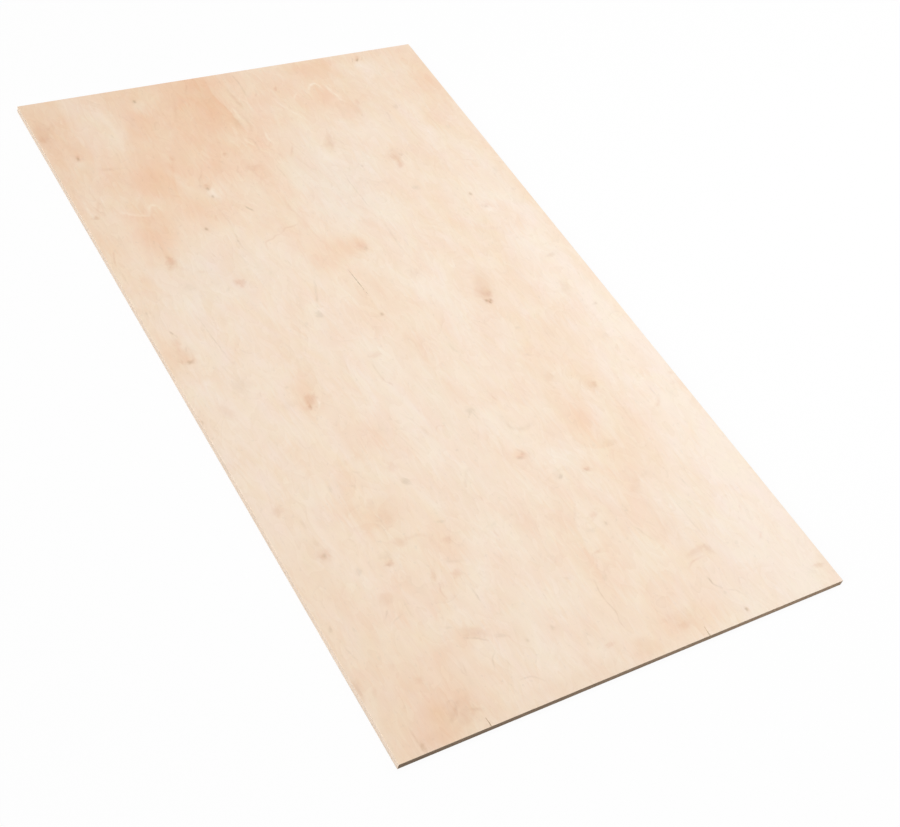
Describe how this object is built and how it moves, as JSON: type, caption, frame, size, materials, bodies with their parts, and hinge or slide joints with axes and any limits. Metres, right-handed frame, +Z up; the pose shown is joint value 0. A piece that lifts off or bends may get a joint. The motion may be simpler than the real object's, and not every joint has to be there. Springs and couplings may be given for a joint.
{
  "type": "plywood sheet",
  "caption": "Flat rectangular sheet of pale birch-faced plywood with sawn, slightly eased edges, used as a building panel or cut into parts.",
  "frame": {"origin": "centre of the underside", "axes": "+X across the width, +Y along the length and the face grain, +Z up through the thickness"},
  "size_m": [1.22, 2.135, 0.018],
  "materials": {
    "birch_plywood": "sanded bare veneer, matt"
  },
  "bodies": {
    "root": {"plywood_sheet": "birch_plywood"}
  },
  "joints": []
}
